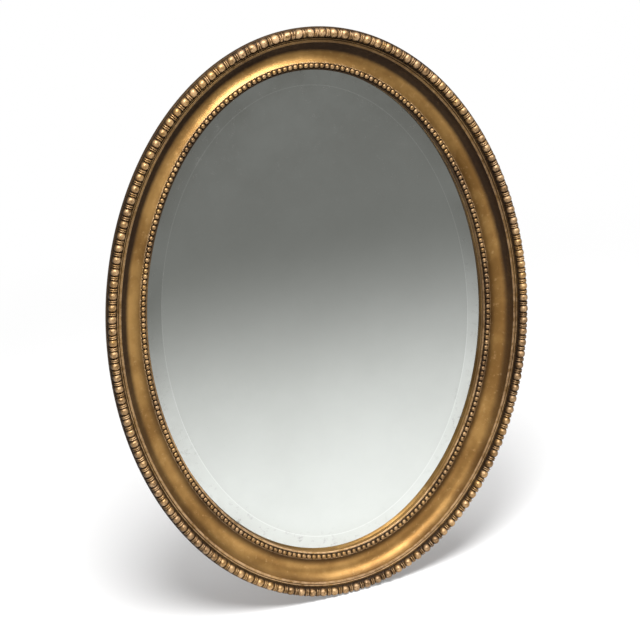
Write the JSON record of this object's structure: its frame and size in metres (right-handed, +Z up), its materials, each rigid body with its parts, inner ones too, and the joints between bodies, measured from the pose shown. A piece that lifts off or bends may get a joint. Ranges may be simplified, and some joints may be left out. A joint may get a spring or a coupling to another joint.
{
  "type": "oval wall mirror",
  "caption": "Oval wall mirror in a gilt cove frame with a bead-and-reel border, a string of pearls, a bevelled plate, plank back and two hanging rings.",
  "frame": {"origin": "centre of the oval on the rear face of the backboards, the plane that rests on the wall", "axes": "+Z up along the oval's long axis, +Y out of the back towards the wall, +X to the viewer's right, front faces -Y"},
  "size_m": [0.624, 0.0496, 0.84],
  "materials": {
    "gilded_wood": "worn water gilding over gesso",
    "gilded_composition": "worn gilding on pressed composition",
    "beech": "planed",
    "silvered_glass": "polished, bevelled, silvering aged",
    "lining_paper": "matt",
    "pine": "sawn",
    "pine_board": "planed, aged",
    "iron": "rusted",
    "brass": "tarnished",
    "brass_wire": "tarnished"
  },
  "bodies": {
    "mirror": {"rim_top": "gilded_wood", "rim_right": "gilded_wood", "rim_bottom": "gilded_wood", "rim_left": "gilded_wood", "bead_run_1": "gilded_composition", "bead_run_2": "gilded_composition", "bead_run_3": "gilded_composition", "bead_run_4": "gilded_composition", "bead_run_5": "gilded_composition", "bead_run_6": "gilded_composition", "bead_run_7": "gilded_composition", "bead_run_8": "gilded_composition", "pearl_run_1": "gilded_composition", "pearl_run_2": "gilded_composition", "pearl_run_3": "gilded_composition", "pearl_run_4": "gilded_composition", "pearl_run_5": "gilded_composition", "pearl_run_6": "gilded_composition", "joint_tongues": "beech", "mirror_plate": "silvered_glass", "paper_lining": "lining_paper", "rebate_blocks": "pine", "backboard_left": "pine_board", "backboard_middle": "pine_board", "backboard_right": "pine_board", "board_brads": "iron", "hanger_straps": "brass", "strap_screws": "brass"},
    "ring_left": {"ring_left": "brass_wire"},
    "ring_right": {"ring_right": "brass_wire"}
  },
  "joints": [
    {"name": "ring_left_swing", "type": "hinge", "parent": "mirror", "child": "ring_left", "pos_m": [-0.26227, -0.00267, 0.14923], "axis": [0.9578, 0, -0.2875], "range_deg": [0, 180]},
    {"name": "ring_right_swing", "type": "hinge", "parent": "mirror", "child": "ring_right", "pos_m": [0.26227, -0.00267, 0.14923], "axis": [0.9578, 0, 0.2875], "range_deg": [0, 180]}
  ]
}
